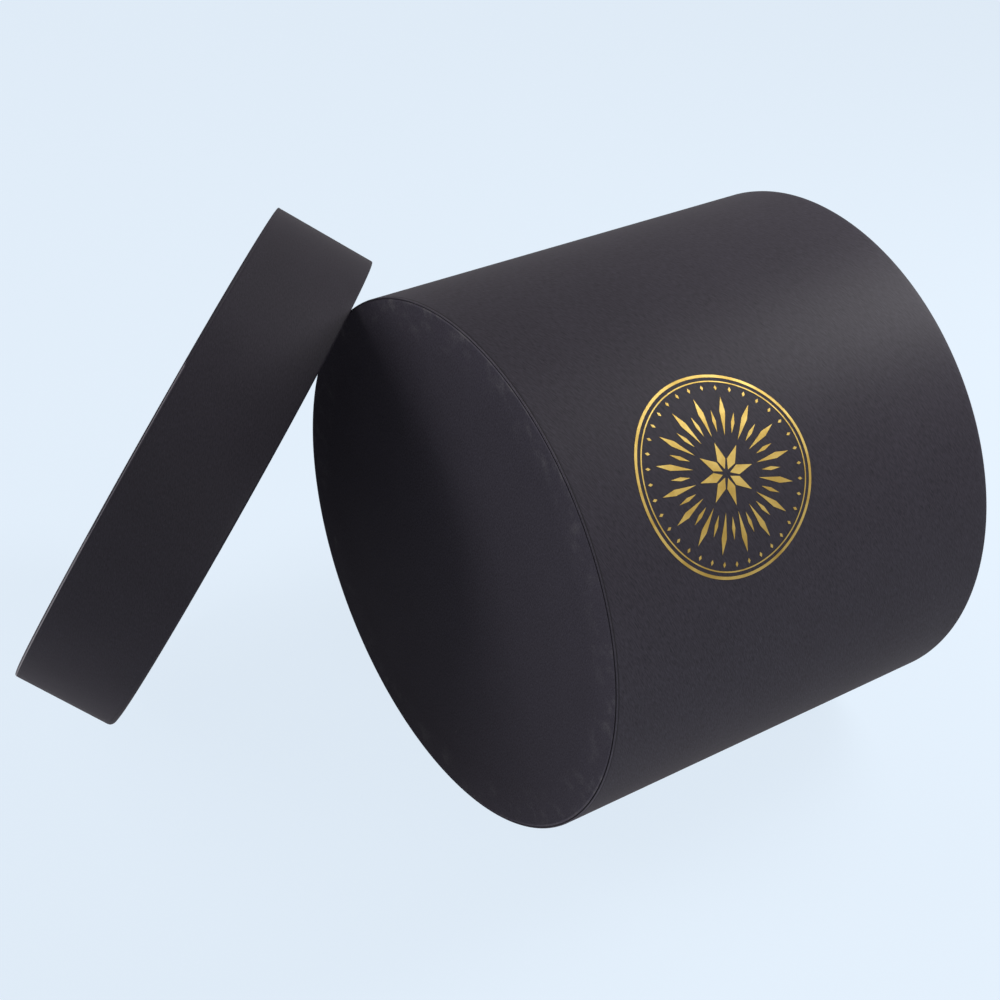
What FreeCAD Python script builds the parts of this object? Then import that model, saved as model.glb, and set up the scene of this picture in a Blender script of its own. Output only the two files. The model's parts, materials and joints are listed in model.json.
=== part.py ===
import FreeCAD
import Part
import Sketcher
import math
import os
import re

# A round rigid gift box lying on its side, its lid taken off and leaning on the edge of its base.
# The box and the lid are made alike: a greyboard tube closed by a greyboard disc, then wrapped,
# covered and lined with black paper. A gold foil medallion is stamped on the wall of the box.
# Lengths are in millimetres and angles in degrees.
SIZES = {
    # overall
    "body_radius": 90.0,
    "body_height": 151.5,
    "lid_height": 37.5,
    "lid_clearance": 0.6,
    # boards, papers and the glue between them
    "wall_board": 2.0,
    "disc_board": 2.0,
    "paper": 0.25,
    "cover_card": 0.3,
    "liner_card": 0.25,
    "glue_line": 0.05,
    # how far the wrap turns in at the rim and over the closed end, and where its lap lies
    "rim_turn": 15.0,
    "face_turn": 3.0,
    "lap_width": 12.0,
    "body_lap_angle": 245.0,
    "lid_lap_angle": 120.0,
    # how far the cover stops short of the edge, and the liner of the rim
    "cover_inset": 1.1,
    "liner_drop": 3.0,
    # foil medallion: its place on the wall, then its ring, rays and star, from the outside in
    "foil": 0.08,
    "medallion_height": 52.0,
    "medallion_angle": 53.0,
    "medallion_radius": 31.0,
    "ring_width": 0.9,
    "ray_gap": 6.1,
    "ray_start": 11.6,
    "ray_half_width": 0.95,
    "ray_waist_share": 0.62,
    "ray_count": 16,
    "star_radius": 9.8,
    "star_core": 1.4,
    "star_half_width": 1.5,
    "star_waist_share": 0.35,
    "star_points": 8,
    # how the lid leans: tilt of its axis below level, turn of its axis from the box's axis towards
    # the viewer, and how far round from its top its rim hooks on the base edge
    "lean_tilt_angle": 29.4,
    "lean_turn_angle": 42.6,
    "lean_hook_angle": 4.5,
    "lean_gap": 0.3,
}
FULL_TURN = 360
HALVINGS = 60
UP = FreeCAD.Vector(0, 0, 1)
ALONG = FreeCAD.Vector(1, 0, 0)
AWAY = FreeCAD.Vector(0, 1, 0)

doc = FreeCAD.newDocument("gift_tube_box")
sheet = doc.addObject("Spreadsheet::Sheet", "sizes")
for row, (alias, size) in enumerate(SIZES.items(), start=1):
    sheet.set(f"A{row}", alias)
    sheet.set(f"B{row}", str(size))
    sheet.setAlias(f"B{row}", alias)
doc.recompute()


def formula(text):
    """The text with each size name pointed at its cell."""
    return re.sub(r"[a-z_]+", lambda word: "sizes." + word[0] if word[0] in SIZES else word[0], text)


def value(text):
    return float(sheet.evalExpression(formula(text)))


def sketch_on(body, name, role):
    sketch = body.newObject("Sketcher::SketchObject", name)
    plane = next(feature for feature in body.Origin.OriginFeatures if feature.Role == role)
    sketch.AttachmentSupport = [(plane, "")]
    sketch.MapMode = "FlatFace"
    return sketch


def bind(sketch, constraint, text):
    index = sketch.addConstraint(constraint)
    sketch.setExpression(f"Constraints[{index}]", formula(text))


def pin_point(sketch, geometry, end, point):
    """Hold one end of a line or arc at a point given by two formulas."""
    for kind, axis, text in (("DistanceX", -2, point[0]), ("DistanceY", -1, point[1])):
        if text == "0":
            sketch.addConstraint(Sketcher.Constraint("PointOnObject", geometry, end, axis))
        else:
            bind(sketch, Sketcher.Constraint(kind, -1, 1, geometry, end, value(text)), text)


def draw_outline(sketch, corners):
    """A closed outline of straight runs, each corner given by two formulas."""
    points = [FreeCAD.Vector(value(across), value(along), 0) for across, along in corners]
    for point, following in zip(points, points[1:] + points[:1]):
        sketch.addGeometry(Part.LineSegment(point, following), False)
    for index, corner in enumerate(corners):
        previous = (index - 1) % len(corners)
        sketch.addConstraint(Sketcher.Constraint("Coincident", previous, 2, index, 1))
        pin_point(sketch, index, 1, corner)


def turn_profile(body, name, corners, angle=None):
    """Turn an outline of radius and height about the body's own axis."""
    sketch = sketch_on(body, name + "_profile", "XZ_Plane")
    draw_outline(sketch, corners)
    turned = body.newObject("PartDesign::Revolution", name + "_turn")
    turned.Profile = sketch
    turned.ReferenceAxis = (sketch, ["V_Axis"])
    turned.Angle = FULL_TURN
    if angle:
        turned.setExpression("Angle", formula(angle))
    return turned


def turned_body(label, corners):
    body = doc.addObject("PartDesign::Body", label)
    turn_profile(body, label, corners)
    return body


def ring_outline(inside, outside, low, high):
    return [(inside, low), (outside, low), (outside, high), (inside, high)]


def disc_outline(outside, low, high):
    return [("0", low), (outside, low), (outside, high), ("0", high)]


def wrapped_tube(names, outer, height):
    """The six pieces of a box or a lid, standing on its closed end at height zero."""
    board_out = f"{outer} - paper - glue_line"
    board_in = f"{board_out} - wall_board"
    turn_out = f"{board_in} - glue_line"
    rim_in = f"{turn_out} - paper"
    liner_out = f"{rim_in} - glue_line"
    liner_in = f"{liner_out} - liner_card"
    turn_end = f"{outer} - face_turn"
    face = "cover_card + paper"
    disc_top = f"{face} + disc_board"
    lining = f"{disc_top} + liner_card"
    board_rim = f"{height} - paper"

    wall = turned_body(names["wall"], ring_outline(board_in, board_out, face, board_rim))
    disc = turned_body(names["disc"], disc_outline(f"{board_in} - glue_line", face, disc_top))
    # the wrap starts on the closed end, goes round its edge, up the wall, over the rim and down inside
    wrap = turned_body(names["wrap"], [
        (turn_end, "cover_card"),
        (outer, "cover_card"),
        (outer, height),
        (rim_in, height),
        (rim_in, f"{height} - rim_turn"),
        (turn_out, f"{height} - rim_turn"),
        (turn_out, board_rim),
        (f"{outer} - paper", board_rim),
        (f"{outer} - paper", face),
        (turn_end, face),
    ])
    # where its two ends meet, the wrap laps over itself
    lap = ring_outline(outer, f"{outer} + paper", "cover_card", height)
    turn_profile(wrap, names["wrap"] + "_lap", lap, f"lap_width / ({outer}) * 180 / pi")
    cover = turned_body(names["cover"], disc_outline(f"{outer} - cover_inset", "0", "cover_card"))
    liner = turned_body(names["liner"], ring_outline(liner_in, liner_out, lining, f"{height} - liner_drop"))
    floor = turned_body(names["floor"], disc_outline(f"{board_in} - glue_line", disc_top, lining))
    return [wall, disc, wrap, cover, liner, floor]


def stamp_mark(body, name, draw):
    """Pad a flat mark from the box's axis out through its wall."""
    sketch = sketch_on(body, name + "_outline", "XY_Plane")
    draw(sketch)
    pad = body.newObject("PartDesign::Pad", name)
    pad.Profile = sketch
    pad.setExpression("Length", formula("body_radius + paper"))
    doc.recompute()
    return pad


def repeat_mark(body, pad, count):
    """Repeat a mark all the way round the medallion's middle."""
    repeat = body.newObject("PartDesign::PolarPattern", pad.Name + "_repeat")
    repeat.Originals = [pad]
    repeat.Axis = (pad.Profile[0], ["N_Axis"])
    repeat.Angle = FULL_TURN
    repeat.setExpression("Occurrences", formula(count))
    body.Tip = repeat
    doc.recompute()


def draw_circle(sketch, radius):
    geometry = sketch.addGeometry(Part.Circle(FreeCAD.Vector(), UP, value(radius)), False)
    sketch.addConstraint(Sketcher.Constraint("Coincident", geometry, 3, -1, 1))
    bind(sketch, Sketcher.Constraint("Radius", geometry, value(radius)), radius)


def kite(start, end, half_width, waist_share):
    waist = f"{start} + {waist_share} * ({end} - ({start}))"
    return [(start, "0"), (waist, f"-{half_width}"), (end, "0"), (waist, half_width)]


def foil_medallion(label):
    """The medallion's flat marks, cut out of a thin skin on the wall so that they follow its curve."""
    marks = doc.addObject("PartDesign::Body", label + "_marks")

    def ring(sketch):
        draw_circle(sketch, "medallion_radius")
        draw_circle(sketch, "medallion_radius - ring_width")

    ray_end = "medallion_radius - ring_width - ray_gap"
    ray = kite("ray_start", ray_end, "ray_half_width", "ray_waist_share")
    star_point = kite("star_core", "star_radius", "star_half_width", "star_waist_share")
    stamp_mark(marks, "ring", ring)
    for name, outline, count in (("ray", ray, "ray_count"), ("star_point", star_point, "star_points")):
        pad = stamp_mark(marks, name, lambda sketch: draw_outline(sketch, outline))
        repeat_mark(marks, pad, count)
    outward = FreeCAD.Rotation(UP, value("medallion_angle")) * FreeCAD.Rotation(UP, ALONG)
    marks.Placement = FreeCAD.Placement(UP * value("medallion_height"), outward)

    skin = doc.addObject("Part::Cut", label + "_skin")
    cylinders = []
    for name, radius in (("outside", "body_radius + foil"), ("inside", "body_radius")):
        cylinder = doc.addObject("Part::Cylinder", f"{label}_{name}")
        cylinder.setExpression("Radius", formula(radius))
        cylinder.setExpression("Height", formula("body_height"))
        cylinders.append(cylinder)
    skin.Base, skin.Tool = cylinders

    medallion = doc.addObject("Part::Common", label)
    medallion.Base = marks
    medallion.Tool = skin
    return medallion


def direction(tilt, turn):
    """A unit vector that points the tilt below level, and the turn from the box's axis."""
    level = math.cos(tilt)
    return FreeCAD.Vector(level * math.cos(turn), level * math.sin(turn), -math.sin(tilt))


def lying_pose():
    """The box on its side, its axis level and its base in the plane of the origin."""
    turn = FreeCAD.Rotation(UP, -AWAY, ALONG, "ZXY")
    return FreeCAD.Placement(UP * value("body_radius"), turn)


def leaning_pose(lid_radius):
    """The lid with its rim on the floor and the inner edge of its mouth hooked on the base edge.

    The two edges are circles, and they are nearest where the line between them is square to both."""
    tilt = math.radians(value("lean_tilt_angle"))
    turn = -math.radians(value("lean_turn_angle"))
    hook = math.radians(value("lean_hook_angle"))
    axis = direction(tilt, turn)
    up = -direction(tilt + math.pi / 2, turn)
    reach = up * math.cos(hook) + axis.cross(up) * math.sin(hook)
    mouth_radius = value("body_radius + lid_clearance")
    height = lid_radius * math.cos(tilt)

    def mouth_centre(angle):
        spoke = FreeCAD.Vector(0, math.cos(angle), math.sin(angle))
        edge = spoke * value("body_radius") + UP * value("body_radius") + ALONG * value("cover_card")
        square = ALONG.cross(spoke).cross(axis.cross(reach)).normalize()
        square = square if square.dot(reach) > 0 else -square
        return edge + square * value("lean_gap") - reach * mouth_radius

    low = 0
    high = math.pi / 2
    for _ in range(HALVINGS):
        middle = (low + high) / 2
        low, high = (middle, high) if mouth_centre(middle).z < height else (low, middle)
    top = mouth_centre(low) - axis * value("lid_height")
    return FreeCAD.Placement(top, FreeCAD.Rotation(up, axis.cross(up), axis, "ZXY"))


lid_outer = "(body_radius + lid_clearance + wall_board + 2 * paper + 2 * glue_line)"
box = wrapped_tube({
    "wall": "body_wall_board",
    "disc": "base_board",
    "wrap": "body_wrap",
    "cover": "base_cover",
    "liner": "body_liner",
    "floor": "base_liner",
}, "body_radius", "body_height")
lid = wrapped_tube({
    "wall": "lid_skirt_board",
    "disc": "lid_top_board",
    "wrap": "lid_wrap",
    "cover": "lid_top_cover",
    "liner": "lid_skirt_liner",
    "floor": "lid_top_liner",
}, lid_outer, "lid_height")
foil = foil_medallion("foil_medallion")
doc.recompute()

# the box and the lid are each turned on their axis so that the lap lies out of sight
box_pose = lying_pose()
box_turn = FreeCAD.Placement(FreeCAD.Vector(), FreeCAD.Rotation(UP, value("body_lap_angle")))
lid_turn = FreeCAD.Placement(FreeCAD.Vector(), FreeCAD.Rotation(UP, value("lid_lap_angle")))
groups = (
    (box_pose * box_turn, box),
    (leaning_pose(value(lid_outer)) * lid_turn, lid),
    (box_pose, [foil]),
)


def place(shift):
    for pose, pieces in groups:
        for piece in pieces:
            piece.Placement = FreeCAD.Placement(shift, FreeCAD.Rotation()) * pose
    doc.recompute()


# the origin is on the floor, under the middle of the whole
place(FreeCAD.Vector())
parts = [piece for pose, pieces in groups for piece in pieces]
bounds = Part.makeCompound([piece.Shape for piece in parts]).optimalBoundingBox(False, False)
place(FreeCAD.Vector(-bounds.Center.x, -bounds.Center.y, -bounds.ZMin))

for item in doc.Objects:
    if "Invalid" in item.State or "Error" in item.State:
        raise RuntimeError(f"{item.Label} failed: {item.State}")
for piece in parts:
    if piece.Shape.isNull() or not piece.Shape.isValid():
        raise RuntimeError(f"{piece.Label} has no valid shape")
os.makedirs("parts", exist_ok=True)
for piece in parts:
    piece.Shape.exportStep(f"parts/{piece.Label}.step")
    print(piece.Label, len(piece.Shape.Solids), round(piece.Shape.Volume, 1))
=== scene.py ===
import bpy
import bmesh
import json
import math
from mathutils import Matrix, Vector


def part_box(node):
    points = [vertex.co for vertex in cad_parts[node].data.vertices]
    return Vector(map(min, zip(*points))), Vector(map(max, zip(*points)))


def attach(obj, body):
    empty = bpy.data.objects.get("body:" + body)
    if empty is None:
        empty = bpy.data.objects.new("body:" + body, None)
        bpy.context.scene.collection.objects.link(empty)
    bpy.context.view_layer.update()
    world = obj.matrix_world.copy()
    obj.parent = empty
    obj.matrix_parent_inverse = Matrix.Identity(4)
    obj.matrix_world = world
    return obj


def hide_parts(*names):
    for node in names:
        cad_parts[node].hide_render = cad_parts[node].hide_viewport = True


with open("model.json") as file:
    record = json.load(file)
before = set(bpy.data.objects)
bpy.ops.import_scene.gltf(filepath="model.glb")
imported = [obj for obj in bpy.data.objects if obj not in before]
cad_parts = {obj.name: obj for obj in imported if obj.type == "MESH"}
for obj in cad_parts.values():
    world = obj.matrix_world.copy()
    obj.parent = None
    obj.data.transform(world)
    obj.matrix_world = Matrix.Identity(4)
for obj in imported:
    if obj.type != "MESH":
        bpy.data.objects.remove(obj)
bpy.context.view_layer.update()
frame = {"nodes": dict(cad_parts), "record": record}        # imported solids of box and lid, in metres
mounts = {mount["name"]: mount for mount in frame["record"]["mounts"]}
mm = 0.001
fullTurn = 2 * math.pi
closeBy = 0.02 * mm      # two places nearer than this are one
weldBy = 0.001 * mm      # doubles left by a spin are nearer than this
print("frame loaded:", len(frame["nodes"]), "nodes")


# where the two tubes lie: z runs along a tube from its closed end, x points up
def tubePlace(origin, axis):
    along = Vector(axis).normalized()
    up = Vector((0, 0, 1))
    up = (up - up.dot(along) * along).normalized()
    place = Matrix((up, along.cross(up), along)).transposed().to_4x4()
    place.translation = origin
    return place


def nodePoints(node, place):
    home = place.inverted()
    return [home @ v.co for v in frame["nodes"][node].data.vertices]


def tubeSpan(node, place):       # inner and outer radius, lowest and highest z
    points = nodePoints(node, place)
    radii = [p.xy.length for p in points]
    heights = [p.z for p in points]
    return min(radii), max(radii), min(heights), max(heights)


def angleOf(co):         # round the tube, from its top
    return math.atan2(co.y, co.x)


coverLow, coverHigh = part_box("base_cover")
boxOrigin = Vector((coverLow.x, (coverLow.y + coverHigh.y) / 2, (coverLow.z + coverHigh.z) / 2))
boxPlace = tubePlace(boxOrigin, mounts["box_mouth"]["axis"])
lidPlace = tubePlace(mounts["lid_top"]["pos_m"], [-a for a in mounts["lid_top"]["axis"]])


# small helpers for node trees
def addNode(tree, kind, **settings):
    node = tree.nodes.new("ShaderNode" + kind)
    for key, setting in settings.items():
        setattr(node, key, setting)
    return node


def feed(tree, node, **inputs):  # a socket, a number or a colour into each input, by name or as n0, n1, n2
    for key, source in inputs.items():
        byPlace = key[0] == "n" and key[1:].isdigit()
        socket = node.inputs[int(key[1:]) if byPlace else key]
        if isinstance(source, bpy.types.NodeSocket):
            tree.links.new(source, socket)
        else:
            socket.default_value = source
    return node


def calc(tree, operation, a, b=0.0, c=0.0):
    node = addNode(tree, "Math", operation=operation)
    return feed(tree, node, n0=a, n1=b, n2=c).outputs[0]


def times(tree, a, b):
    return calc(tree, "MULTIPLY", a, b)


def scaleFor(tree, size):        # a texture's scale for marks of this size
    return calc(tree, "DIVIDE", 1.0, size)


def ramp(tree, source, low, high):       # smooth step from 0 to 1 between two levels
    node = addNode(tree, "MapRange", interpolation_type="SMOOTHSTEP")
    return feed(tree, node, n0=source, n1=low, n2=high).outputs[0]


def mixColour(tree, share, a, b):
    node = addNode(tree, "Mix", data_type="RGBA")
    return feed(tree, node, n0=share, n6=a, n7=b).outputs[2]


def noise(tree, vector, scale, detail, rough, distortion=0.0):
    node = addNode(tree, "TexNoise")
    feed(tree, node, Vector=vector, Scale=scale, Detail=detail, Roughness=rough, Distortion=distortion)
    return node.outputs[0]


def sway(tree, source, amount):          # a noise, as a shift of up to this amount either way
    middle = 0.5
    return times(tree, calc(tree, "SUBTRACT", source, middle), amount / middle)


def newGroup(name, inputs, outputs):
    tree = bpy.data.node_groups.new(name, "ShaderNodeTree")
    for title, kind, default in inputs:
        socket = tree.interface.new_socket(title, in_out="INPUT", socket_type="NodeSocket" + kind)
        if default is not None:
            socket.default_value = default
    for title in outputs:
        tree.interface.new_socket(title, in_out="OUTPUT", socket_type="NodeSocketFloat")
    return tree, tree.nodes.new("NodeGroupInput"), tree.nodes.new("NodeGroupOutput")


def useGroup(tree, group, **inputs):
    node = addNode(tree, "Group", node_tree=group)
    return feed(tree, node, **{title.replace("_", " "): source for title, source in inputs.items()})


# fibre grain of a paper: long fibres one way, a fine tooth, slow cloudy tone
def makePaperGrain():
    fibreShare, toothShare = 0.65, 0.35
    tree, source, sink = newGroup(
        "paperGrain",
        [("Vector", "Vector", None),
         ("Fibre Length", "Float", 2.6 * mm), ("Fibre Width", "Float", 0.38 * mm),
         ("Tooth", "Float", 0.3 * mm), ("Cloud", "Float", 28 * mm)],
        ["Height", "Fibre", "Cloud Tone"])
    given = source.outputs
    split = feed(tree, addNode(tree, "SeparateXYZ"), n0=given["Vector"]).outputs
    stretched = feed(tree, addNode(tree, "CombineXYZ"),
                     n0=calc(tree, "DIVIDE", split[0], given["Fibre Length"]),
                     n1=calc(tree, "DIVIDE", split[1], given["Fibre Width"]),
                     n2=calc(tree, "DIVIDE", split[2], given["Fibre Width"]))
    fibre = noise(tree, stretched.outputs[0], 1.0, detail=3.0, rough=0.6, distortion=0.5)
    tooth = noise(tree, given["Vector"], scaleFor(tree, given["Tooth"]), detail=2.0, rough=0.6)
    cloud = noise(tree, given["Vector"], scaleFor(tree, given["Cloud"]), detail=4.0, rough=0.55,
                  distortion=0.3)
    height = calc(tree, "ADD", times(tree, fibre, fibreShare), times(tree, tooth, toothShare))
    feed(tree, sink, **{"Height": height, "Fibre": fibre, "Cloud Tone": cloud})
    return tree


# marks of handling: a few specks of dust, and soft rubbed patches where the surface is worn
def makeHandling():
    crumbFineness = 14.0         # a patch breaks up into crumbs this many times finer
    tree, source, sink = newGroup(
        "handling",
        [("Vector", "Vector", None), ("Wear", "Float", 0.0),
         ("Dust Spacing", "Float", 11 * mm), ("Dust Size", "Float", 0.5 * mm),
         ("Rub Size", "Float", 7 * mm)],
        ["Dust", "Rub"])
    given = source.outputs
    cells = addNode(tree, "TexVoronoi", feature="F1")
    feed(tree, cells, Vector=given["Vector"], Scale=scaleFor(tree, given["Dust Spacing"]), Randomness=1.0)
    chance = feed(tree, addNode(tree, "SeparateColor"), n0=cells.outputs["Color"]).outputs
    reach = times(tree, calc(tree, "DIVIDE", given["Dust Size"], given["Dust Spacing"]), chance[1])
    speck = calc(tree, "LESS_THAN", cells.outputs["Distance"], reach)
    dust = times(tree, speck, ramp(tree, chance[0], low=0.94, high=0.97))        # most cells stay clean
    rubScale = scaleFor(tree, given["Rub Size"])
    patches = noise(tree, given["Vector"], rubScale, detail=8.0, rough=0.62)
    crumbs = noise(tree, given["Vector"], times(tree, rubScale, crumbFineness), detail=3.0, rough=0.7)
    rub = times(tree, ramp(tree, patches, low=0.48, high=0.74), ramp(tree, crumbs, low=0.3, high=0.75))
    feed(tree, sink, Dust=dust, Rub=times(tree, rub, given["Wear"]))
    return tree


paperGrain = makePaperGrain()
handling = makeHandling()


def newMaterial(name):
    material = bpy.data.materials.new(name)
    material.use_nodes = True
    tree = material.node_tree
    return material, tree, tree.nodes["Principled BSDF"]


def grainRoughness(tree, grain, look):   # wanders with the fibres, by half its spread either way
    spread = look["roughSpread"]
    return calc(tree, "MULTIPLY_ADD", grain.outputs["Fibre"], spread, look["roughness"] - spread / 2)


def grainBump(tree, grain, look):
    node = addNode(tree, "Bump")
    feed(tree, node, Height=grain.outputs["Height"],
         Strength=look["grainStrength"], Distance=look["grainDepth"])
    return node.outputs[0]


# matte black touch paper, laid on the piece's own UV map in metres
touchPaper = {
    "colour": (0.0326, 0.0290, 0.0379, 1),
    "rubColour": (0.105, 0.097, 0.106, 1),
    "dustColour": (0.42, 0.41, 0.43, 1),
    "creaseShadeColour": (0.012, 0.0113, 0.0127, 1),
    "paleHighlightColour": (0.42, 0.39, 0.37, 1),         # painted highlight colour, pale and warm, where light catches a fold
    "paleHighlightFrom": 0.3, "paleHighlightFull": 1.0,            # level of wear and painted highlight at which that starts and is complete
    "roughness": 0.78, "roughSpread": 0.14,
    "rubSmooth": 0.12,                           # rubbed patches are this much smoother
    "specular": 0.05,
    "coatRoughness": 0.45,
    "fibreSkew": math.radians(22),               # the sheet was cut at a slant to its grain
    "cloudTone": 0.12,
    "grainStrength": 0.6, "grainDepth": 0.08 * mm,
}


def makeTouchPaper(name, fibreLength, fibreWidth, fibreTone, coat, paintedLightLevel, wearAndPaintedLightTone, rub, bare):
    look = touchPaper
    material, tree, skin = newMaterial(name)
    uv = addNode(tree, "UVMap", uv_map="paper").outputs[0]
    wear = addNode(tree, "Attribute", attribute_name="wear").outputs["Fac"]
    creaseShade = addNode(tree, "Attribute", attribute_name="creaseShade").outputs["Fac"]
    slant = addNode(tree, "VectorRotate", rotation_type="Z_AXIS")
    slant = feed(tree, slant, Vector=uv, Angle=-look["fibreSkew"]).outputs[0]
    grain = useGroup(tree, paperGrain, Vector=slant, Fibre_Length=fibreLength, Fibre_Width=fibreWidth)
    marks = useGroup(tree, handling, Vector=uv, Wear=wear)
    grainShift = calc(tree, "ADD", sway(tree, grain.outputs["Fibre"], fibreTone),
                      sway(tree, grain.outputs["Cloud Tone"], look["cloudTone"]))
    wearAndPaintedLightShift = times(tree, wear, wearAndPaintedLightTone)      # painted highlight on lit folds, and paler rubbed wear
    # the paper's level lightens or darkens it as a whole: painted light and painted shade
    tone = calc(tree, "ADD", grainShift, calc(tree, "ADD", wearAndPaintedLightShift, paintedLightLevel))
    paper = addNode(tree, "VectorMath", operation="SCALE")
    feed(tree, paper, n0=look["colour"][:3], Scale=tone)
    colour = mixColour(tree, times(tree, marks.outputs["Rub"], rub), paper.outputs[0], look["rubColour"])
    colour = mixColour(tree, marks.outputs["Dust"], colour, look["dustColour"])
    # a pale warm colour on worn folds: painted highlight
    paleHighlightShare = times(tree, ramp(tree, wear, look["paleHighlightFrom"], look["paleHighlightFull"]), bare)
    colour = mixColour(tree, paleHighlightShare, colour, look["paleHighlightColour"])
    # dark in gaps, cuts and scored lines: painted shade
    colour = mixColour(tree, creaseShade, colour, look["creaseShadeColour"])
    smoother = times(tree, marks.outputs["Rub"], look["rubSmooth"])
    rough = calc(tree, "SUBTRACT", grainRoughness(tree, grain, look), smoother)
    feed(tree, skin, **{"Base Color": colour, "Roughness": rough, "Specular IOR Level": look["specular"],
                        "Coat Weight": coat, "Coat Roughness": look["coatRoughness"],
                        "Normal": grainBump(tree, grain, look)})
    return material


# plain lining card, on Object coordinates, with a short even grain
liningCard = {
    "colour": (0.026, 0.0255, 0.0275, 1), "pale": (0.043, 0.042, 0.045, 1),
    "roughness": 0.72, "roughSpread": 0.12, "specular": 0.25,
    "grainStrength": 0.5, "grainDepth": 0.03 * mm,
}


def makeLiningCard(name):
    look = liningCard
    material, tree, skin = newMaterial(name)
    place = addNode(tree, "TexCoord").outputs["Object"]
    grain = useGroup(tree, paperGrain, Vector=place,
                     Fibre_Length=0.9 * mm, Fibre_Width=0.5 * mm, Cloud=22 * mm)
    marks = useGroup(tree, handling, Vector=place, Dust_Spacing=16 * mm)
    share = times(tree, grain.outputs["Fibre"], grain.outputs["Cloud Tone"])
    colour = mixColour(tree, ramp(tree, share, low=0.1, high=0.45), look["colour"], look["pale"])
    colour = mixColour(tree, marks.outputs["Dust"], colour, touchPaper["dustColour"])
    feed(tree, skin, **{"Base Color": colour, "Roughness": grainRoughness(tree, grain, look),
                        "Specular IOR Level": look["specular"], "Normal": grainBump(tree, grain, look)})
    return material


# recycled greyboard with pale clouds and dark flecks
greyboard = {
    "colour": (0.30, 0.275, 0.24, 1), "pale": (0.47, 0.44, 0.39, 1),
    "fleck": (0.10, 0.09, 0.08, 1), "fleckSize": 1.1 * mm,
    "roughness": 0.86, "roughSpread": 0.1,
    "grainStrength": 0.8, "grainDepth": 0.09 * mm,
}


def makeGreyboard(name):
    look = greyboard
    material, tree, skin = newMaterial(name)
    place = addNode(tree, "TexCoord").outputs["Object"]
    grain = useGroup(tree, paperGrain, Vector=place,
                     Fibre_Length=1.6 * mm, Fibre_Width=0.5 * mm, Cloud=12 * mm)
    colour = mixColour(tree, grain.outputs["Cloud Tone"], look["colour"], look["pale"])
    flecks = noise(tree, place, 1 / look["fleckSize"], detail=3.0, rough=0.6)
    colour = mixColour(tree, ramp(tree, flecks, low=0.62, high=0.72), colour, look["fleck"])
    feed(tree, skin, **{"Base Color": colour, "Roughness": grainRoughness(tree, grain, look),
                        "Normal": grainBump(tree, grain, look)})
    return material


# hot-stamped gold foil: it follows the paper's fibres, and thins to pinholes here and there
goldFoil = {
    "colour": (0.418, 0.308, 0.096, 1), "deep": (0.318, 0.217, 0.055, 1),
    "worn": (0.11, 0.076, 0.03, 1), "holeSize": 0.35 * mm,
    "roughness": 0.56, "roughSpread": 0.3,
    "grainStrength": 0.5, "grainDepth": 0.03 * mm,
}


def makeGoldFoil(name):
    look = goldFoil
    material, tree, skin = newMaterial(name)
    uv = addNode(tree, "UVMap", uv_map="paper").outputs[0]
    grain = useGroup(tree, paperGrain, Vector=uv,
                     Fibre_Length=2.6 * mm, Fibre_Width=0.38 * mm, Cloud=9 * mm)
    cloud = ramp(tree, grain.outputs["Cloud Tone"], low=0.35, high=0.65)
    colour = mixColour(tree, cloud, look["deep"], look["colour"])
    holes = noise(tree, uv, 1 / look["holeSize"], detail=3.0, rough=0.65)
    colour = mixColour(tree, ramp(tree, holes, low=0.66, high=0.74), colour, look["worn"])
    feed(tree, skin, **{"Base Color": colour, "Roughness": grainRoughness(tree, grain, look),
                        "Metallic": 1.0, "Normal": grainBump(tree, grain, look)})
    return material


# the lid's paper is a darker copy of the wall's and the cover's a lighter one: painted shade and painted
# light
wallPaper = makeTouchPaper("wallTouchPaper", fibreLength=2.2 * mm, fibreWidth=0.32 * mm, fibreTone=0.95,
                           coat=0.13, paintedLightLevel=1.0, wearAndPaintedLightTone=1.15, rub=0.55, bare=0.02)
lidPaper = makeTouchPaper("lidTouchPaper", fibreLength=1.1 * mm, fibreWidth=0.32 * mm, fibreTone=0.5,
                          coat=0.13, paintedLightLevel=0.78, wearAndPaintedLightTone=4.0, rub=0.55, bare=0.5)
coverPaper = makeTouchPaper("coverTouchPaper", fibreLength=0.8 * mm, fibreWidth=0.42 * mm, fibreTone=0.95,
                            coat=0.01, paintedLightLevel=1.2, wearAndPaintedLightTone=1.15, rub=7.0, bare=0.02)
innerCard = makeLiningCard("blackLiningCard")
board = makeGreyboard("recycledGreyboard")
foil = makeGoldFoil("stampedGoldFoil")
materials = (wallPaper, lidPaper, coverPaper, innerCard, board, foil)
print("materials made:", ", ".join(material.name for material in materials))


# turned meshes: a few points of a section, spun about the tube's axis
turning = {"steps": 240, "lapSteps": 12, "foldSegments": 4, "sharpAngle": math.radians(32)}


def spun(points, angle=fullTurn, steps=turning["steps"]):
    bm = bmesh.new()
    verts = [bm.verts.new((radius, 0, height)) for radius, height in points]
    for pair in zip(verts, verts[1:] + verts[:1]):
        bm.edges.new(pair)
    whole = angle == fullTurn
    if not whole:
        bm.faces.new(verts)
    section = list(bm.verts) + list(bm.edges) + list(bm.faces)
    bmesh.ops.spin(bm, geom=section, cent=(0, 0, 0), axis=(0, 0, 1),
                   angle=angle, steps=steps, use_merge=whole)
    bmesh.ops.remove_doubles(bm, verts=bm.verts, dist=weldBy)
    bare = [e for e in bm.edges if not e.link_faces]         # left on the axis
    bmesh.ops.delete(bm, geom=bare, context="EDGES")
    bmesh.ops.recalc_face_normals(bm, faces=bm.faces)
    return bm


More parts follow.
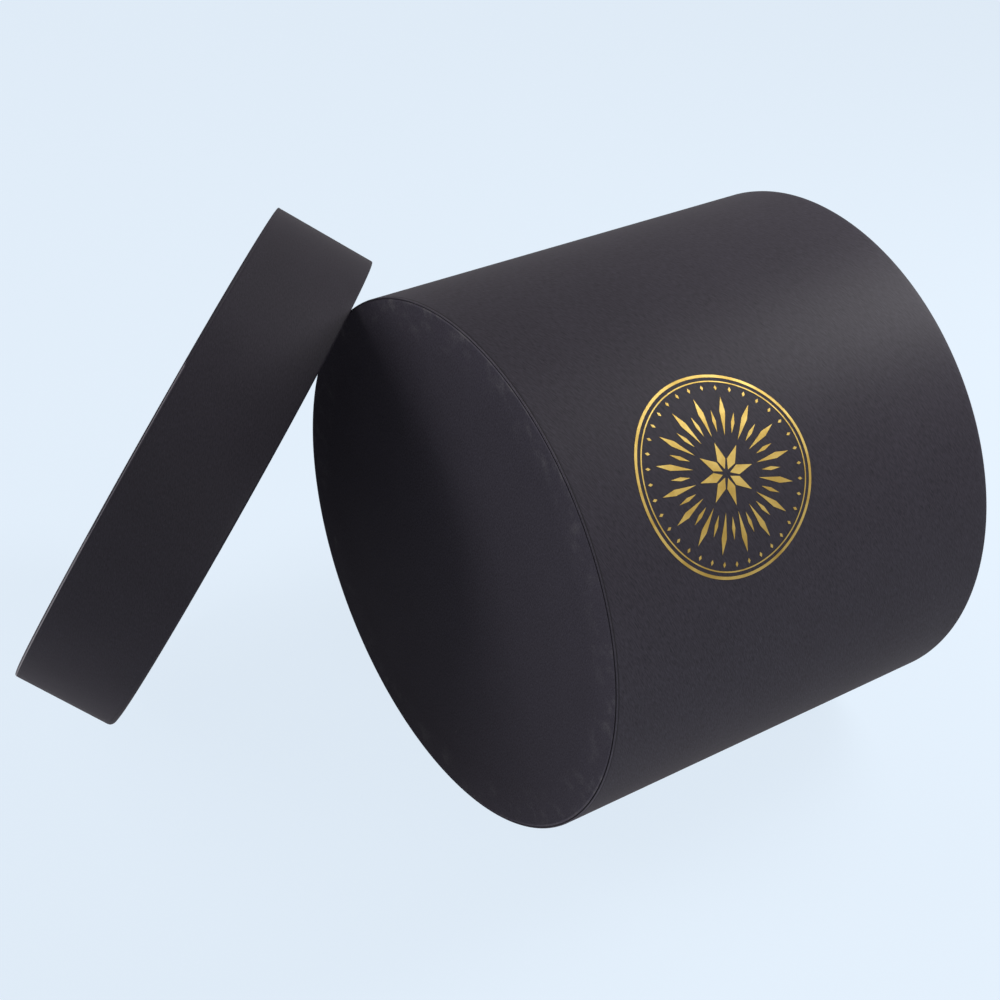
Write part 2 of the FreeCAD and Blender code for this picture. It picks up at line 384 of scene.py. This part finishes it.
def roundFold(bm, radius, height, size):
    def onFold(v):
        return abs(v.co.xy.length - radius) < closeBy and abs(v.co.z - height) < closeBy
    fold = [e for e in bm.edges if all(onFold(v) for v in e.verts)]
    bmesh.ops.bevel(bm, geom=fold, offset=size, offset_type="OFFSET", segments=turning["foldSegments"],
                    profile=0.5, affect="EDGES", material=-1)


def tightenFold(bm, radius, height, size, share):        # scales a rounding about its corner, by angle
    for v in bm.verts:
        r, depth = v.co.xy.length, abs(v.co.z - height)
        near = r > radius - size - closeBy and depth < size + closeBy
        if near and abs(math.hypot(r - radius + size, depth - size) - size) < closeBy:
            k = share(angleOf(v.co))
            v.co.xy *= (radius - (radius - r) * k) / r
            v.co.z = height + (v.co.z - height) * k


# what use has done round a tube, and where painted highlights and painted bounce light fall
usage = {
    "highlightPlaces": 3, "highlightAngle": math.radians(45),
    "foldShare": 0.6, "foldSwing": 0.45, "foldAngle": math.radians(-36),
    "bounceAngle": math.radians(140), "bounceFocus": 7,
}


def paintedHighlightAt(angle):      # painted highlight: edges are pale in a few places round the tube
    return (1 + math.cos(usage["highlightPlaces"] * angle - usage["highlightAngle"])) / 2


def softBelow(angle):    # the lid's folds are crisp above, and rounder where it stands
    return usage["foldShare"] - usage["foldSwing"] * math.cos(angle - usage["foldAngle"])


def paintedBounceAt(angle):      # painted bounce light: the lid's wall is paler towards the place where it stands
    return max(0.0, math.cos(angle - usage["bounceAngle"])) ** usage["bounceFocus"]


def paintLayer(bm, name, strength):      # strength of a layer at a radius, height and angle: wear with painted highlight, painted crease shade
    layer = bm.verts.layers.float.new(name)
    for v in bm.verts:
        v[layer] = max(0.0, min(1.0, strength(v.co.xy.length, v.co.z, angleOf(v.co))))


def layPaper(bm, wallRadius):    # UV in metres: round the wall, or flat across an end
    endFacing = 0.7              # a face turned this far along the axis lies on an end
    layer = bm.loops.layers.uv.new("paper")
    for face in bm.faces:
        facing = angleOf(face.calc_center_median())
        for loop in face.loops:
            co = loop.vert.co
            if abs(face.normal.z) > endFacing:
                loop[layer].uv = co.xy
                continue
            angle = angleOf(co)
            angle += fullTurn * round((facing - angle) / fullTurn)
            loop[layer].uv = (angle * wallRadius, co.z)


def meshFrom(bm, name):
    mesh = bpy.data.meshes.new(name)
    bm.to_mesh(mesh)
    bm.free()
    return mesh


def addObject(name, data):
    thing = bpy.data.objects.new(name, data)
    bpy.context.scene.collection.objects.link(thing)
    return thing


def joinTurned(bm, strip, angle):        # a strip, turned about the tube's axis and added to a mesh
    bmesh.ops.rotate(strip, cent=(0, 0, 0), matrix=Matrix.Rotation(angle, 3, "Z"), verts=strip.verts)
    mesh = meshFrom(strip, "strip")
    bm.from_mesh(mesh)
    bpy.data.meshes.remove(mesh)


def finishPiece(bm, name, place, material, body, slot, *replaced):
    bmesh.ops.transform(bm, matrix=place, verts=bm.verts)
    mesh = meshFrom(bm, name)
    mesh.shade_smooth()
    mesh.set_sharp_from_angle(angle=turning["sharpAngle"])
    mesh.materials.append(material)
    piece = addObject(name, mesh)
    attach(piece, body)
    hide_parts(*replaced)
    print(name, "made:", len(mesh.polygons), "faces")


# outer paper of a tube: turned under the end cover, over the rim and down inside
wrapMake = {
    "paper": 0.25 * mm, "glue": 0.05 * mm,
    "turnUnder": 3 * mm, "rimTurn": 15 * mm,
    "ridgeDrop": 0.07 * mm,      # the fold stands this far behind the cover's face
    "scoreHalf": 0.25 * mm, "scoreDepth": 0.05 * mm,
    "lapStart": 0.4 * mm,        # the lap starts this far from the scored line
    "lapSink": 0.05 * mm,        # and reaches this far into the paper under it
    "wearReach": 7 * mm,         # how far wear comes in from an edge
    "wearRing": 0.4,             # by the rim, one more ring of points at this share of it
    "grooveShade": 0.1,         # painted shade in the gap at top and bottom; it is full at the sides
}
# at the closed end: how much fuller than its solid the cover is cut, the gap beside it, the fold's
# rounding, where its painted highlight starts, the least and most painted highlight there, the scored line
# and its painted shade;
# at the rim: the rounding outside and inside; then wear with painted highlight by both edges, painted
# bounce light where it stands
bodyEnd = {
    "coverGrow": 0.45 * mm, "groove": 0.3 * mm, "fold": 0.3 * mm, "foldHighlightFrom": 0.0, "foldHighlight": (0.25, 1.0),
    "score": 0.68 * mm, "scoreShade": 0.9,
    "rimFold": (1.2 * mm, 1.2 * mm), "edgeWearAndHighlight": 0.03, "bounceLight": 0.0,
}
lidEnd = {
    "coverGrow": 0.0, "groove": 0.2 * mm, "fold": 0.8 * mm, "foldHighlightFrom": 0.45 * mm, "foldHighlight": (0.8, 1.0),
    "score": 1.2 * mm, "scoreShade": 0.12,
    "rimFold": (1.8 * mm, 0.6 * mm), "edgeWearAndHighlight": 0.01, "bounceLight": 0.14,
}


def lapPaper(bm, place, wrapNode, outer, low, high):     # the paper's end, glued over its start
    paper = wrapMake["paper"]
    raised = [p for p in nodePoints(wrapNode, place) if p.xy.length > outer + paper / 2]
    middle = sum(raised, Vector()) / len(raised)
    half = max(abs(middle.xy.angle_signed(p.xy)) for p in raised)
    sunk = outer - wrapMake["lapSink"]
    strip = spun([(sunk, low), (outer, low), (outer, high), (sunk, high)], 2 * half, turning["lapSteps"])
    for v in strip.verts:        # thin where the paper starts to rise, full at its cut end
        share = angleOf(v.co) / (2 * half)
        if v.co.xy.length > sunk + closeBy:
            v.co.xy *= 1 + share * paper / outer
    joinTurned(bm, strip, angleOf(middle) - half)


def makeWrap(name, place, body, material, end, boardNode, coverNode, linerNode, wrapNode):
    make = wrapMake
    paper, reach = make["paper"], make["wearReach"]
    boardSpan, coverSpan = tubeSpan(boardNode, place), tubeSpan(coverNode, place)
    outer = boardSpan[1] + make["glue"] + paper
    rim = boardSpan[3] + paper
    rimIn = tubeSpan(linerNode, place)[1] + make["glue"]
    under, top = coverSpan[3], make["ridgeDrop"]
    turnEnd, turnLow = outer - make["turnUnder"], rim - make["rimTurn"]
    coverOut = coverSpan[1] + end["coverGrow"]
    grooveIn = coverOut + closeBy
    grooveMid = coverOut + end["groove"] / 2
    ridgeIn = coverOut + end["groove"]
    score, half, sunk = end["score"], make["scoreHalf"], outer - make["scoreDepth"]
    flat = half / 3              # the scored line's floor
    lapLow = score + half + make["lapStart"]
    bm = spun([
        (turnEnd, under), (grooveIn, under), (grooveMid, under), (ridgeIn, top), (outer, top),
        (outer, score - half), (sunk, score - flat), (sunk, score + flat), (outer, score + half),
        (outer, lapLow), (outer, reach), (outer, rim - reach), (outer, rim - reach * make["wearRing"]),
        (outer, rim), (rimIn, rim), (rimIn, turnLow), (rimIn + paper, turnLow),
        (rimIn + paper, rim - paper), (outer - paper, rim - paper), (outer - paper, under + paper),
        (turnEnd, under + paper)])
    roundFold(bm, outer, top, end["fold"])
    foldOut, foldIn = end["rimFold"]
    roundFold(bm, outer, rim, foldOut)
    roundFold(bm, rimIn, rim, foldIn)
    roundFold(bm, outer - paper, rim - paper, foldOut - paper)
    roundFold(bm, rimIn + paper, rim - paper, foldIn - paper)
    if body == "lid":
        tightenFold(bm, outer, top, end["fold"], softBelow)
        tightenFold(bm, outer, rim, foldOut, softBelow)
    lapPaper(bm, place, wrapNode, outer, lapLow, rim - foldOut)

    def wearAndPaintedLightAt(radius, height, angle):           # painted highlight: the fold beside the gap is pale
        if end["foldHighlightFrom"] < height < score - half - closeBy and radius > ridgeIn - closeBy:
            least, most = end["foldHighlight"]
            return least + (most - least) * paintedHighlightAt(angle)
        nearEdge = max(0.0, 1 - min(height, rim - height) / reach)
        return end["edgeWearAndHighlight"] * nearEdge + end["bounceLight"] * paintedBounceAt(angle)

    def creaseShadeAt(radius, height, angle):        # painted shade in the gap, and in the scored line
        if radius < grooveMid + closeBy:
            least = make["grooveShade"]
            return (least + (1 - least) * math.sin(angle) ** 2) * (height < under + closeBy)
        return end["scoreShade"] * (abs(height - score) < half / 2 and radius > outer - paper / 2)

    paintLayer(bm, "wear", wearAndPaintedLightAt)
    paintLayer(bm, "creaseShade", creaseShadeAt)
    layPaper(bm, outer)
    finishPiece(bm, name, place, material, body, "black_wrap", wrapNode)


makeWrap("bodyWrap", boxPlace, "box", wallPaper, bodyEnd,
         "body_wall_board", "base_cover", "body_liner", "body_wrap")
makeWrap("lidWrap", lidPlace, "lid", lidPaper, lidEnd,
         "lid_skirt_board", "lid_top_cover", "lid_skirt_liner", "lid_wrap")


# board tube under the paper, its rim eased by the fold
def makeBoard(name, place, body, end, node):
    inner, outer, low, high = tubeSpan(node, place)
    bm = spun([(inner, low), (outer, low), (outer, high), (inner, high)])
    for radius, fold in zip((outer, inner), end["rimFold"]):
        roundFold(bm, radius, high, fold - wrapMake["paper"])
    finishPiece(bm, name, place, board, body, "greyboard", node)


makeBoard("bodyBoard", boxPlace, "box", bodyEnd, "body_wall_board")
makeBoard("lidBoard", lidPlace, "lid", lidEnd, "lid_skirt_board")


# thin card disc over the closed end, laid a little off centre by hand
coverMake = {
    "edgeRound": 0.14 * mm,
    # paler towards the cover's edge: wear, with a painted sheen
    "wearReach": 14 * mm, "wear": 0.2,
    "wearRings": (1.0, 0.3, 0.1),        # rings of points at these shares of the reach
    "lineStart": 0.75 * mm, "lineFull": 0.5 * mm, "edgeWearAndHighlight": 1.0,       # painted highlight line along the cut edge
}


def makeCover(name, place, body, end, node, offCentre, offAngle):
    make = coverMake
    radius, low, high = tubeSpan(node, place)[1:]
    radius += end["coverGrow"]
    reach = make["wearReach"]
    insets = [reach * share for share in make["wearRings"]] + [make["lineStart"], make["lineFull"], 0.0]
    bm = spun([(0, low)] + [(radius - inset, low) for inset in insets] + [(radius, high), (0, high)])
    roundFold(bm, radius, low, make["edgeRound"])

    def wearAndPaintedLightAt(r, height, angle):                # painted highlight: a pale line along the cut edge; wear with a painted sheen, paler towards it
        worn = make["wear"] * (1 - (radius - r) / reach)
        if r > radius - make["lineFull"] - closeBy:
            worn = max(worn, make["edgeWearAndHighlight"] * paintedHighlightAt(angle))
        return worn

    def creaseShadeAt(r, height, angle):             # painted shade of the gap, on the cut itself
        return r > radius - closeBy and height > low + make["edgeRound"] / 2

    paintLayer(bm, "wear", wearAndPaintedLightAt)
    paintLayer(bm, "creaseShade", creaseShadeAt)
    layPaper(bm, radius)
    off = Matrix.Rotation(offAngle, 3, "Z") @ Vector((offCentre, 0, 0))
    bmesh.ops.translate(bm, vec=off, verts=bm.verts)
    finishPiece(bm, name, place, coverPaper, body, "black_cover", node)


makeCover("baseCover", boxPlace, "box", bodyEnd, "base_cover", 0.14 * mm, math.radians(-90))
makeCover("lidTopCover", lidPlace, "lid", lidEnd, "lid_top_cover", 0.08 * mm, math.radians(200))


# lining card rolled inside the wall, its end lapped over its start
linerMake = {"edgeRound": 0.08 * mm, "lapWidth": 10 * mm}


def makeLiner(name, place, body, node, lapAngle):
    make = linerMake
    inner, outer, low, high = tubeSpan(node, place)
    bm = spun([(inner, low), (outer, low), (outer, high), (inner, high)])
    roundFold(bm, inner, high, make["edgeRound"])
    lap = make["lapWidth"] / inner
    thick = outer - inner
    face, sunk, lapHigh = inner - closeBy / 2, inner + thick / 2, high - thick
    strip = spun([(face, low), (sunk, low), (sunk, lapHigh), (face, lapHigh)], lap, turning["lapSteps"])
    for v in strip.verts:        # a wedge that ends in the card's cut edge
        if v.co.xy.length < inner:
            v.co.xy *= 1 - angleOf(v.co) / lap * thick / inner
    joinTurned(bm, strip, lapAngle)
    finishPiece(bm, name, place, innerCard, body, "black_liner", node)


makeLiner("bodyLiner", boxPlace, "box", "body_liner", math.radians(150))
makeLiner("lidLiner", lidPlace, "lid", "lid_skirt_liner", math.radians(250))


# sunburst of foil stamped on the wall: rings, lozenges, rays and a star
medallion = {
    "foil": 0.08 * mm, "ringWidth": 0.9 * mm,
    "fineRingGap": 1.1 * mm, "fineRingWidth": 0.4 * mm,
    "lozengeCount": 36, "lozengeGap": 1.0 * mm, "lozengeLength": 1.7 * mm, "lozengeHalf": 0.5 * mm,
    "lozengeWaist": 0.5,
    "rayCount": 16, "rayStart": 11.6 * mm, "rayGap": 6.1 * mm, "rayHalf": 0.95 * mm, "rayWaist": 0.62,
    "shortStart": 12.8 * mm, "shortEnd": 19.6 * mm, "shortHalf": 0.6 * mm, "shortWaist": 0.5,
    "starCount": 8, "starCore": 1.4 * mm, "starTip": 9.8 * mm, "starHalf": 1.5 * mm, "starWaist": 0.35,
    "ringSteps": 128, "cuts": 4,
}


def flatRing(bm, outer, inner):
    loops = []
    for radius in (outer, inner):
        made = bmesh.ops.create_circle(bm, segments=medallion["ringSteps"], radius=radius)
        loops += {e for v in made["verts"] for e in v.link_edges}
    bmesh.ops.bridge_loops(bm, edges=loops)


def flatMarks(bm, count, start, end, half, waist, turn=0.0):     # a kite, repeated round the middle
    belly = start + (end - start) * waist
    verts = [bm.verts.new(co) for co in ((start, 0, 0), (belly, -half, 0), (end, 0, 0), (belly, half, 0))]
    kite = bm.faces.new(verts)
    bmesh.ops.rotate(bm, cent=(0, 0, 0), matrix=Matrix.Rotation(turn, 3, "Z"), verts=verts)
    bmesh.ops.spin(bm, geom=verts + list(kite.edges) + [kite], cent=(0, 0, 0), axis=(0, 0, 1),
                   angle=fullTurn * (count - 1) / count, steps=count - 1, use_duplicate=True)


def makeMedallion():
    make = medallion
    points = nodePoints("foil_medallion", boxPlace)
    wall = min(p.xy.length for p in points)
    facing = angleOf(sum(points, Vector()) / len(points))
    low, high = min(p.z for p in points), max(p.z for p in points)
    radius, centre = (high - low) / 2, (high + low) / 2
    ringIn = radius - make["ringWidth"]
    fineOut = ringIn - make["fineRingGap"]
    lozengeOut = fineOut - make["fineRingWidth"] - make["lozengeGap"]
    lozengeIn = lozengeOut - make["lozengeLength"]
    rayEnd = ringIn - make["rayGap"]
    between = math.pi / make["rayCount"]         # short rays stand between the long ones
    bm = bmesh.new()
    flatMarks(bm, make["lozengeCount"], lozengeIn, lozengeOut, make["lozengeHalf"], make["lozengeWaist"])
    flatMarks(bm, make["rayCount"], make["rayStart"], rayEnd, make["rayHalf"], make["rayWaist"])
    flatMarks(bm, make["rayCount"], make["shortStart"], make["shortEnd"], make["shortHalf"],
              make["shortWaist"], between)
    flatMarks(bm, make["starCount"], make["starCore"], make["starTip"], make["starHalf"], make["starWaist"])
    bmesh.ops.subdivide_edges(bm, edges=bm.edges, cuts=make["cuts"], use_grid_fill=True)
    flatRing(bm, radius, ringIn)
    flatRing(bm, fineOut, fineOut - make["fineRingWidth"])
    raised = bmesh.ops.extrude_face_region(bm, geom=bm.faces)["geom"]
    raised = [v for v in raised if isinstance(v, bmesh.types.BMVert)]
    bmesh.ops.translate(bm, vec=(0, 0, radius), verts=raised)    # tall at first, to turn faces outwards
    bmesh.ops.recalc_face_normals(bm, faces=bm.faces)
    for v in raised:
        v.co.z = make["foil"]
    layer = bm.loops.layers.uv.new("paper")
    for face in bm.faces:
        for loop in face.loops:
            loop[layer].uv = (loop.vert.co.y, loop.vert.co.x)    # fibres run round the wall
    for v in bm.verts:           # from the flat drawing onto the wall's curve
        angle = facing + math.asin(v.co.y / wall)
        reach = wall + v.co.z
        v.co = (reach * math.cos(angle), reach * math.sin(angle), centre - v.co.x)
    finishPiece(bm, "foilMedallion", boxPlace, foil, "box", "gold_foil", "foil_medallion")


makeMedallion()


# solids that stay as they are
keptNodes = {
    "base_board": board, "lid_top_board": board,
    "base_liner": innerCard, "lid_top_liner": innerCard,
}
for node, material in keptNodes.items():
    mesh = frame["nodes"][node].data
    mesh.materials.clear()
    mesh.materials.append(material)
print("kept solids dressed:", ", ".join(keptNodes))


# pale floor and backdrop, soft studio light, camera
studio = {
    "backdrop": (0.767, 0.863, 0.965, 1),
    "floorReach": 12.0, "floorCells": 4, "floorRoughness": 0.9,
    "glowColour": (0.79, 0.889, 0.994, 1),
    "surroundings": (0.86, 0.84, 0.83, 1),       # the neutral studio, as mirrors meet it
    "glow": 0.9,                 # share of the floor's look that no shadow reaches
    "ambient": (0.95, 0.97, 1.0, 1), "ambientStrength": 0.06,
}
lamps = [
    {"name": "leftBack", "at": (-0.9, 0.9, 0.9), "size": 1.2, "watts": 8.6},
    {"name": "leftLow", "at": (-0.9, 0.45, 0.3), "size": 0.45, "watts": 2.7},
    {"name": "mouthSide", "at": (0.45, -0.12, 0.45), "size": 0.25, "watts": 1.85},
    {"name": "mouthFar", "at": (0.7, -0.25, 0.6), "size": 0.35, "watts": 3.2},
    {"name": "frontLow", "at": (-0.2, -0.8, 0.2), "size": 0.36, "watts": 2.1},
]
camera = {
    "fromBase": (-0.27134, -0.43019, 0.34494), "azimuth": -34.096, "elevation": 32.111,
    "lens": 68.153, "sensor": 36,
}


def seenDirectly(tree):          # camera, mirror and glass rays, which meet plain colours
    path = addNode(tree, "LightPath").outputs
    seen = calc(tree, "MAXIMUM", path["Is Camera Ray"], path["Is Glossy Ray"])
    return calc(tree, "MAXIMUM", seen, path["Is Transmission Ray"])


def seenColour(tree, plain):     # mirrors meet the neutral studio instead
    glossy = addNode(tree, "LightPath").outputs["Is Glossy Ray"]
    return mixColour(tree, glossy, plain, studio["surroundings"])


def blendShaders(tree, share, lit, plain, sink):
    blend = feed(tree, addNode(tree, "MixShader"), n0=share, n1=lit.outputs[0], n2=plain.outputs[0])
    tree.links.new(blend.outputs[0], tree.nodes[sink].inputs[0])


def makeFloor():
    bm = bmesh.new()
    cells = studio["floorCells"]
    bmesh.ops.create_grid(bm, x_segments=cells, y_segments=cells, size=studio["floorReach"])
    mesh = meshFrom(bm, "floor")
    floor = addObject("floor", mesh)
    material, tree, skin = newMaterial("paleFloor")
    feed(tree, skin, **{"Base Color": studio["backdrop"], "Roughness": studio["floorRoughness"],
                        "Specular IOR Level": 0.0})
    glow = feed(tree, addNode(tree, "Emission"), Color=seenColour(tree, studio["glowColour"]), Strength=1.0)
    blendShaders(tree, times(tree, seenDirectly(tree), studio["glow"]), skin, glow, "Material Output")
    mesh.materials.append(material)


def makeWorld():
    world = bpy.data.worlds.new("studioAir")
    world.use_nodes = True
    tree = world.node_tree
    light = tree.nodes["Background"]
    feed(tree, light, Color=studio["ambient"], Strength=studio["ambientStrength"])
    seen = feed(tree, addNode(tree, "Background"), Color=seenColour(tree, studio["backdrop"]), Strength=1.0)
    blendShaders(tree, seenDirectly(tree), light, seen, "World Output")
    bpy.context.scene.world = world


def makeLamp(lamp):
    data = bpy.data.lights.new(lamp["name"], "AREA")
    data.energy = lamp["watts"]
    data.size = lamp["size"]
    light = addObject(lamp["name"], data)
    light.location = lamp["at"]
    light.rotation_euler = (boxOrigin - Vector(lamp["at"])).to_track_quat("-Z", "Y").to_euler()
    light.visible_camera = False


def makeCamera():
    data = bpy.data.cameras.new("photoCamera")
    data.sensor_width = camera["sensor"]
    data.lens = camera["lens"]
    eye = addObject("photoCamera", data)
    eye.location = boxOrigin + Vector(camera["fromBase"])
    eye.rotation_euler = (math.radians(90 - camera["elevation"]), 0, math.radians(camera["azimuth"]))
    bpy.context.scene.camera = eye


makeFloor()
makeWorld()
for lamp in lamps:
    makeLamp(lamp)
makeCamera()
bpy.context.scene.view_settings.view_transform = "Standard"
print("studio set:", len(lamps), "lamps")
